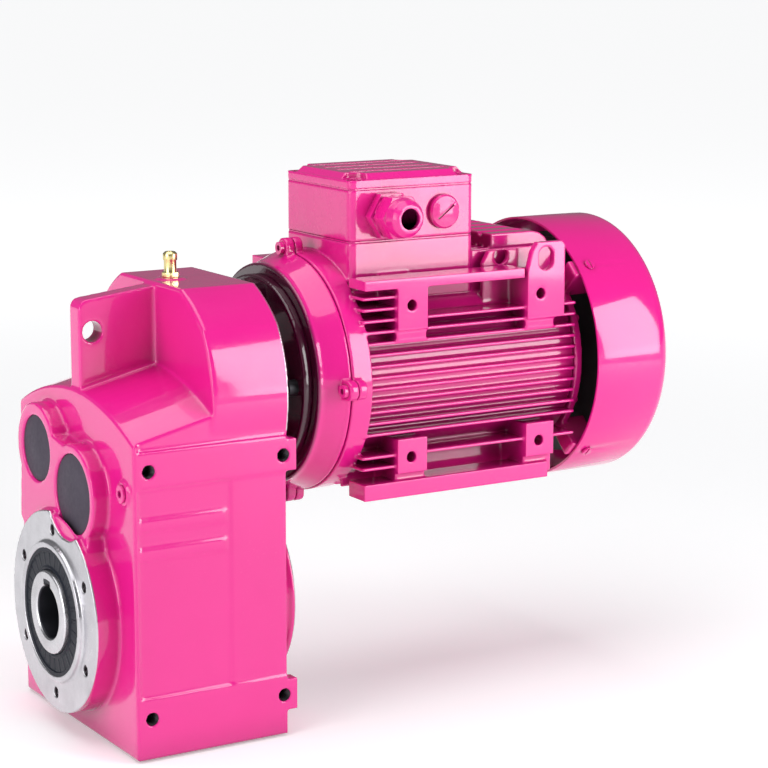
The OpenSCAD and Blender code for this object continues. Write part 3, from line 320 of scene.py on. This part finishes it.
def polymer(name, colour, rough, grain=700.0, depth=0.00001, specular=0.4, dusty=0.12, ribs=0):
    """Rubber or moulded plastic with a fine grain and a trace of dust, and radial ribs if asked."""
    g = Graph(name)
    patch = g.noise(30.0, 4.0, 0.6)
    dust = tuple(min(1.0, c * 1.5 + 0.03) for c in colour)
    g.link(g.mix(g.ramp(patch, 0.35, 0.75, 0.0, dusty * 3), colour, dust), g.bsdf.inputs["Base Color"])
    fine = g.noise(grain, 3.0, 0.6)
    g.link(g.ramp(fine, 0.3, 0.7, rough * 0.85, rough * 1.15), g.bsdf.inputs["Roughness"])
    g.bsdf.inputs["Specular IOR Level"].default_value = specular
    normal = g.bump(fine, depth)
    if ribs:
        _, y, z = g.xyz()
        wave = g.math("SINE", g.math("MULTIPLY", g.math("ARCTAN2", y, z), ribs))
        inner_edge = above(g, g.radius(), 0.037, 0.001)
        outer_edge = below(g, g.radius(), 0.0465, 0.001)
        band = g.math("MULTIPLY", inner_edge, outer_edge)
        rib = g.math("MULTIPLY", g.ramp(wave, 0.3, 0.9, 0.0, 1.0, smooth=True), band)
        normal = g.bump(rib, 0.0006, under=normal)
    g.link(normal, g.bsdf.inputs["Normal"])
    return g.mat


def layered(name, colour, pitch, rough):
    """Stack of thin steel sheets along X."""
    g = Graph(name)
    x = g.xyz()[0]
    sheet = g.math("SINE", g.math("MULTIPLY", x, 2 * math.pi / pitch))
    tone = g.ramp(g.noise(80.0, 3.0, 0.6), 0.3, 0.7, 0.0, 1.0)
    g.link(g.mix(tone, colour, tuple(c * 0.6 for c in colour)), g.bsdf.inputs["Base Color"])
    g.bsdf.inputs["Roughness"].default_value = rough
    g.bsdf.inputs["Metallic"].default_value = 0.9
    g.link(g.bump(sheet, 0.00003), g.bsdf.inputs["Normal"])
    return g.mat


CAST = paint("magenta_casting")
CAST_HOUSING = paint("magenta_housing", bare=bare_housing)
CAST_COVER = paint("magenta_cover", bare=bare_cover)
CAST_PAINTED_GAP_SHADE = paint("magenta_gap_painted_shade", painted_shade_where=gap_painted_shade)
SHEET = paint("magenta_sheet", grain=0.25, gloss=0.12)
MOULDED = paint("magenta_moulded", grain=0.6, gloss=0.24)
TURNED = turned_metal("turned_steel", TURNED_STEEL, painted_shade_bore_r=0.0207)
GEAR = plain_metal("gear_steel", STEEL, 0.3)
SCREW = plain_metal("black_oxide", BLACK_OXIDE, 0.42, metallic=0.8)
# Thread walls in the tapped holes are real; their near-black colour is painted shade.
THREAD = plain_metal("thread_painted_shade", THREAD_PAINTED_SHADE, 0.30, metallic=0.9)
CAP_GREY = polymer("bearing_cap_grey", CAP, 0.55, grain=260.0, depth=0.00002, specular=0.12)
BLACK_RUBBER = polymer("seal_rubber", RUBBER, 0.45, grain=1200.0, specular=0.2)
RIBBED_RUBBER = polymer("ribbed_rubber", RUBBER, 0.40, grain=1200.0, specular=0.12, dusty=0.04, ribs=28)
FAN_BLACK = polymer("fan_polymer", FAN_PLASTIC, 0.45)
BOARD = polymer("board_resin", BOARD_RESIN, 0.5)
BRASS_METAL = turned_metal("brass", BRASS, 0.22, pitch=0.0006)
COPPER_METAL = plain_metal("copper_wire", COPPER, 0.35)
ALUMINIUM = plain_metal("cast_aluminium", CAST_ALUMINIUM, 0.45)
CORE = layered("core_sheets", CORE_STEEL, 0.001, 0.5)


# ---------- mesh helpers ----------

def fresh(name, mesh, material, body, smooth_angle=None):
    """New object from a mesh in the row frame, riding on a body."""
    obj = bpy.data.objects.new(name, mesh)
    bpy.context.scene.collection.objects.link(obj)
    mesh.materials.clear()
    mesh.materials.append(material)
    mesh.shade_smooth()
    if smooth_angle is not None:
        mesh.set_sharp_from_angle(angle=math.radians(smooth_angle))
    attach(obj, body)
    return obj


def evaluated(mesh, *modifiers, group=None):
    """The mesh after some modifiers. group(points) gives a weight for each vertex."""
    obj = bpy.data.objects.new("work", mesh)
    bpy.context.scene.collection.objects.link(obj)
    if group is not None:
        points = np.empty(len(mesh.vertices) * 3, np.float32)
        mesh.vertices.foreach_get("co", points)
        weights = group(points.reshape(-1, 3))
        vertex_group = obj.vertex_groups.new(name="w")
        for level in range(1, 11):
            chosen = np.nonzero(np.round(weights * 10) == level)[0]
            if len(chosen):
                vertex_group.add(chosen.tolist(), level / 10, "REPLACE")
    for kind, settings in modifiers:
        modifier = obj.modifiers.new(kind, kind)
        for key, value in settings.items():
            setattr(modifier, key, value)
        if group is not None and hasattr(modifier, "vertex_group"):
            modifier.vertex_group = "w"
    made = bpy.data.meshes.new_from_object(obj.evaluated_get(bpy.context.evaluated_depsgraph_get()))
    bpy.data.objects.remove(obj)
    return made


def copy_mesh(node, weld=0.00001):
    """Welded copy of a CAD node's mesh, without its stored normals."""
    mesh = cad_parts[node].data.copy()
    if "custom_normal" in mesh.attributes:
        mesh.attributes.remove(mesh.attributes["custom_normal"])
    work = bmesh.new()
    work.from_mesh(mesh)
    bmesh.ops.remove_doubles(work, verts=work.verts, dist=weld)
    work.to_mesh(mesh)
    work.free()
    return mesh


def cast(node, body, material, voxel, rounds, keep=None, thin=0.4):
    """Casting with soft edges: the CAD solid, remeshed and smoothed, except where keep gives low weights."""
    mesh = evaluated(copy_mesh(node), ("REMESH", {"mode": "VOXEL", "voxel_size": voxel}))
    mesh = evaluated(mesh, ("SMOOTH", {"factor": 0.5, "iterations": 1}))
    mesh = evaluated(mesh, ("SMOOTH", {"factor": 0.5, "iterations": rounds}), group=keep)
    if thin < 1.0:
        mesh = evaluated(mesh, ("DECIMATE", {"ratio": thin}))
    obj = fresh("fine_" + node, mesh, material, body)
    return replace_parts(obj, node)


def fine(node, body, material, slot, width=0.0004, segments=2, angle=30.0):
    """Machined or moulded piece: the CAD solid with its edges broken."""
    mesh = copy_mesh(node)
    work = bmesh.new()
    work.from_mesh(mesh)
    bmesh.ops.dissolve_limit(
        work, angle_limit=math.radians(0.6), verts=work.verts, edges=work.edges, delimit=set())
    work.to_mesh(mesh)
    work.free()
    mesh = evaluated(mesh, ("BEVEL", {
        "width": width, "segments": segments, "limit_method": "ANGLE",
        "angle_limit": math.radians(angle), "use_clamp_overlap": True,
        "miter_outer": "MITER_ARC"}))
    obj = fresh("fine_" + node, mesh, material, body, smooth_angle=angle)
    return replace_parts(obj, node)


def lathe(profile, segments=64, axis="X", at=(0.0, 0.0, 0.0), direction=1.0):
    """Turned mesh. profile is a list of (station, radius) along the axis."""
    mesh = bpy.data.meshes.new("lathe")
    points = []
    for station, radius in profile:
        for i in range(segments):
            angle = 2 * math.pi * i / segments
            across = radius * math.cos(angle)
            up = radius * math.sin(angle)
            along = station * direction
            turned = {"X": (along, across, up), "Y": (up, along, across), "Z": (across, up, along)}[axis]
            points.append(tuple(a + b for a, b in zip(turned, at)))
    faces = []
    for j in range(len(profile) - 1):
        for i in range(segments):
            k = (i + 1) % segments
            here = j * segments
            after = here + segments
            face = (here + i, here + k, after + k, after + i)
            faces.append(face if direction > 0 else face[::-1])
    mesh.from_pydata(points, [], faces)
    mesh.update()
    return mesh


def joined(meshes):
    """One mesh from several."""
    work = bmesh.new()
    for mesh in meshes:
        work.from_mesh(mesh)
    made = bpy.data.meshes.new("joined")
    work.to_mesh(made)
    work.free()
    for mesh in meshes:
        bpy.data.meshes.remove(mesh)
    return made


def thread_profile(depth, outer, pitch, height):
    """Profile of a tapped hole for lathe: a zigzag wall, then the drill point."""
    wall = []
    turns = int(depth / pitch)
    for i in range(turns):
        wall.append((i * pitch, outer))
        wall.append((i * pitch + pitch / 2, outer - height))
    wall.append((turns * pitch, outer))
    wall.append((turns * pitch + outer * 0.5, outer * 0.02))
    return wall


# ---------- painted castings ----------

def keep_housing(points):
    """Low weights on machined faces, so that they stay crisp."""
    x, y, z = points.T
    radius = np.hypot(y, z)
    weight = np.ones(len(points))
    weight[(radius < 0.081) & (x < 0.003)] = 0.1
    weight[(radius < 0.0515) & (x < 0.03)] = 0.1
    weight[x > 0.1462] = 0.2
    for hole_x in SIDE_HOLE_XS:
        for hole_z in SIDE_HOLE_ZS:
            near = np.hypot(x - hole_x, z - hole_z) < 0.0068
            weight[near & (np.abs(y) > 0.08)] = 0.1
    lug = np.hypot(x - 0.0335, z - 0.217) < 0.0105
    weight[lug & (np.abs(y) < 0.012)] = 0.3
    return weight


def keep_cover(points):
    """Low weights on the rear flange face and the joint face of the cover."""
    x, y, z = points.T
    radius = np.hypot(y, z)
    weight = np.ones(len(points))
    weight[(radius < 0.081) & (x > SPAN - 0.003)] = 0.1
    weight[x < 0.138] = 0.2
    return weight


def keep_frame(points):
    """The pad faces of the motor frame and their holes stay crisp."""
    weight = np.ones(len(points))
    weight[np.abs(points[:, 1]) > PAD_Y] = 0.2
    return weight


cast("gear_housing", "housing", CAST_HOUSING, 0.0011, 9, keep_housing)
cast("rear_cover", "housing", CAST_COVER, 0.0012, 5, keep_cover, thin=0.3)
# Painted shade: the adapter and the front of the drive end shield get the near-black gap coat.
cast("motor_adapter", "housing", CAST_PAINTED_GAP_SHADE, 0.0012, 4, thin=0.3)
cast("drive_end_shield", "housing", CAST_PAINTED_GAP_SHADE, 0.0011, 5, thin=0.3)
cast("stator_frame", "housing", CAST, 0.0009, 3, keep_frame, thin=0.45)
cast("rear_end_shield", "housing", CAST, 0.0012, 4, thin=0.3)
cast("terminal_box", "housing", MOULDED, 0.0008, 3, thin=0.3)
cast("terminal_lid", "housing", MOULDED, 0.0007, 2, thin=0.3)

for node, material, slot in (
        ("fan_cowl", SHEET, "painted_sheet"), ("oil_level_plug", CAST, "painted_casting"),
        ("gland_body", MOULDED, "painted_plastic"), ("gland_nut", MOULDED, "painted_plastic"),
        ("blanking_plug", MOULDED, "painted_plastic"), ("upper_shaft_cap", CAP_GREY, "cap_grey"),
        ("lower_shaft_cap", CAP_GREY, "cap_grey"), ("breather_plug", BRASS_METAL, "brass"),
        ("cowl_screws", CAST, "painted_casting")):
    fine(node, "housing", material, slot)

fine("output_hollow_shaft", "output", TURNED, "machined_steel", width=0.0005)


# ---------- finishes of the nodes that stay as they are ----------

KEPT = {
    "cover_screws": SCREW, "adapter_screws": SCREW, "motor_flange_screws": SCREW,
    "frame_screws": CAST, "lid_screws": MOULDED, "front_output_seal": RIBBED_RUBBER,
    "rear_output_seal": RIBBED_RUBBER, "input_seal": BLACK_RUBBER, "gland_seal": BLACK_RUBBER,
    "terminal_box_gasket": MOULDED, "lid_gasket": MOULDED, "cooling_fan": FAN_BLACK,
    "stator_core": CORE, "rotor_core": CORE, "stator_windings": COPPER_METAL,
    "rotor_cage": ALUMINIUM, "terminal_board": BOARD, "terminal_studs": BRASS_METAL,
    "earth_screw": BRASS_METAL, "oil_drain_plug": CAST}
for node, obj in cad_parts.items():
    obj.data.materials.clear()
    obj.data.materials.append(KEPT.get(node, GEAR))


# ---------- tapped holes ----------

SIDE_MOUTH_Y = SIDE_Y - 0.0008
FLANGE_MOUTH_IN = 0.0006


def tapped(name, body, holes, outer, depth, pitch):
    """Thread walls in a set of holes. holes is a list of (place of the mouth, axis, direction)."""
    shells = [lathe(thread_profile(depth, outer, pitch, pitch * 0.55), 40, axis, at, direction)
              for at, axis, direction in holes]
    return fresh(name, joined(shells), THREAD, body, smooth_angle=25.0)


side_holes = [((x, side * SIDE_MOUTH_Y, z), "Y", -side)
              for x in SIDE_HOLE_XS for z in SIDE_HOLE_ZS for side in (-1, 1)]
tapped("side_hole_threads", "housing", side_holes, SIDE_THREAD_R, 0.0145, 0.00175)

flange_holes = []
for step in range(FLANGE_BOLTS):
    turn = math.pi / 2 + 2 * math.pi * step / FLANGE_BOLTS
    place_y = FLANGE_BOLT_CIRCLE_R * math.cos(turn)
    place_z = FLANGE_BOLT_CIRCLE_R * math.sin(turn)
    flange_holes.append(((FLANGE_MOUTH_IN, place_y, place_z), "X", 1))
    flange_holes.append(((SPAN - FLANGE_MOUTH_IN, place_y, place_z), "X", -1))
tapped("flange_hole_threads", "housing", flange_holes, FLANGE_THREAD_R, 0.0150, 0.0015)


# ---------- floor, light and camera ----------

floor_mesh = bpy.data.meshes.new("floor")
FLOOR_Z = cad_low.z - 0.0002
FLOOR_HALF = 40.0
floor_mesh.from_pydata(
    [(-FLOOR_HALF, -FLOOR_HALF, FLOOR_Z), (FLOOR_HALF, -FLOOR_HALF, FLOOR_Z),
     (FLOOR_HALF, FLOOR_HALF, FLOOR_Z), (-FLOOR_HALF, FLOOR_HALF, FLOOR_Z)],
    [], [(0, 1, 2, 3)])
floor = bpy.data.objects.new("floor", floor_mesh)
bpy.context.scene.collection.objects.link(floor)
floor_graph = Graph("pale_floor")
floor_graph.bsdf.inputs["Base Color"].default_value = (0.88, 0.88, 0.89, 1.0)
floor_graph.bsdf.inputs["Roughness"].default_value = 0.6
floor_graph.bsdf.inputs["Specular IOR Level"].default_value = 0.1
floor_graph.bsdf.inputs["Emission Color"].default_value = (1.0, 1.0, 1.0, 1.0)
floor_x, floor_y, _ = floor_graph.xyz()
spread = floor_graph.length(floor_x, floor_y)
# Painted light: the floor glows, dimmer near the object and brighter further out.
painted_floor_glow = floor_graph.ramp(spread, 0.4, 3.0, 0.30, 0.80, smooth=True)
floor_graph.link(painted_floor_glow, floor_graph.bsdf.inputs["Emission Strength"])
floor_mesh.materials.append(floor_graph.mat)

world = bpy.data.worlds.new("studio")
bpy.context.scene.world = world
world.use_nodes = True
world.node_tree.nodes["Background"].inputs[0].default_value = (0.95, 0.97, 1.0, 1.0)
world.node_tree.nodes["Background"].inputs[1].default_value = 0.17

AIM = Vector((0.20, 0.0, 0.12))


def softbox(name, place, width, height, radiance, aim=AIM):
    """Rectangular light that faces aim. radiance is how bright it looks."""
    light = bpy.data.lights.new(name, "AREA")
    light.shape = "RECTANGLE"
    light.size = width
    light.size_y = height
    light.energy = radiance * math.pi * width * height
    obj = bpy.data.objects.new(name, light)
    bpy.context.scene.collection.objects.link(obj)
    obj.location = place
    obj.rotation_mode = "QUATERNION"
    obj.rotation_quaternion = (Vector(aim) - Vector(place)).to_track_quat("-Z", "Y")


softbox("right_box", (1.10, -1.30, 0.56), 0.70, 1.12, 6.5)
softbox("left_box", (-1.70, -0.45, 0.65), 1.30, 1.10, 4.0)
softbox("top_box", (-0.20, 0.00, 2.10), 2.20, 2.20, 2.1)

CAMERA_PLACE = Vector((-0.7047, -1.6353, 0.5137))
CAMERA_AZIMUTH = math.radians(-31.52)
CAMERA_ELEVATION = math.radians(10.75)
CAMERA_ROLL = math.radians(0.125)
back = Vector((math.sin(CAMERA_AZIMUTH) * math.cos(CAMERA_ELEVATION),
               -math.cos(CAMERA_AZIMUTH) * math.cos(CAMERA_ELEVATION),
               math.sin(CAMERA_ELEVATION)))
camera_data = bpy.data.cameras.new("camera")
camera_data.lens = 111.06
camera_data.sensor_width = 36.0
camera_data.clip_start = 0.05
camera_data.clip_end = 200.0
camera = bpy.data.objects.new("camera", camera_data)
bpy.context.scene.collection.objects.link(camera)
camera.location = CAMERA_PLACE
camera.rotation_mode = "QUATERNION"
camera.rotation_quaternion = (
    (-back).to_track_quat("-Z", "Y") @ Matrix.Rotation(CAMERA_ROLL, 3, "Z").to_quaternion())
bpy.context.scene.camera = camera
bpy.context.scene.view_settings.view_transform = "Standard"
